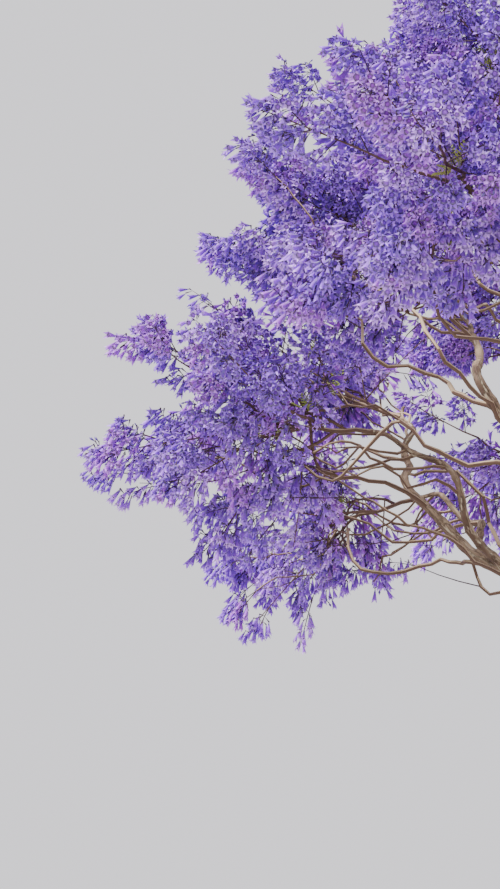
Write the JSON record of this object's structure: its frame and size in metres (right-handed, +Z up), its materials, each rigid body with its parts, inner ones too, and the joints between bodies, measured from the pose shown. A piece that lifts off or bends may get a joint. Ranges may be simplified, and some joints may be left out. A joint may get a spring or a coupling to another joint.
{
  "type": "jacaranda tree",
  "caption": "Jacaranda tree in full blossom, bare of leaves: a low-forking trunk with root flare, crooked spreading boughs and a rounded open crown of separate blossom masses",
  "frame": {"origin": "centre of the flat cut under the trunk, at ground level", "axes": "+Z up along the trunk; -Z into the ground; the pictured side of the crown faces -Y and -X"},
  "size_m": [6.0041, 5.9129, 7.7033],
  "materials": {
    "bark": "thin grey-brown bark, finely fissured, matt",
    "blossom": "soft violet-blue blossom on slender twigs, matt with a faint sheen"
  },
  "bodies": {
    "root": {"trunk": "bark", "leader_1": "bark", "leader_2": "bark", "leader_3": "bark", "rising_bough_1": "bark", "rising_bough_2": "bark", "rising_bough_3": "bark", "wide_bough_1": "bark", "wide_bough_2": "bark", "wide_bough_3": "bark", "wide_bough_4": "bark", "wide_bough_5": "bark", "wide_bough_6": "bark", "wide_bough_7": "bark", "limb_skirt_1": "bark", "limb_skirt_2": "bark", "limb_skirt_3": "bark", "limb_skirt_4": "bark", "limb_skirt_5": "bark", "limb_skirt_6": "bark", "limb_skirt_7": "bark", "limb_shoulder_1": "bark", "limb_shoulder_2": "bark", "limb_shoulder_3": "bark", "limb_shoulder_4": "bark", "limb_shoulder_5": "bark", "limb_shoulder_6": "bark", "limb_shoulder_7": "bark", "limb_upper_1": "bark", "limb_upper_2": "bark", "limb_upper_3": "bark", "limb_upper_4": "bark", "limb_upper_5": "bark", "limb_upper_6": "bark", "limb_crest_1": "bark", "limb_crest_2": "bark", "limb_crest_3": "bark", "blossom_skirt_1": "blossom", "blossom_skirt_2": "blossom", "blossom_skirt_3": "blossom", "blossom_skirt_4": "blossom", "blossom_skirt_5": "blossom", "blossom_skirt_6": "blossom", "blossom_skirt_7": "blossom", "blossom_shoulder_1": "blossom", "blossom_shoulder_2": "blossom", "blossom_shoulder_3": "blossom", "blossom_shoulder_4": "blossom", "blossom_shoulder_5": "blossom", "blossom_shoulder_6": "blossom", "blossom_shoulder_7": "blossom", "blossom_upper_1": "blossom", "blossom_upper_2": "blossom", "blossom_upper_3": "blossom", "blossom_upper_4": "blossom", "blossom_upper_5": "blossom", "blossom_upper_6": "blossom", "blossom_crest_1": "blossom", "blossom_crest_2": "blossom", "blossom_crest_3": "blossom"}
  },
  "joints": []
}
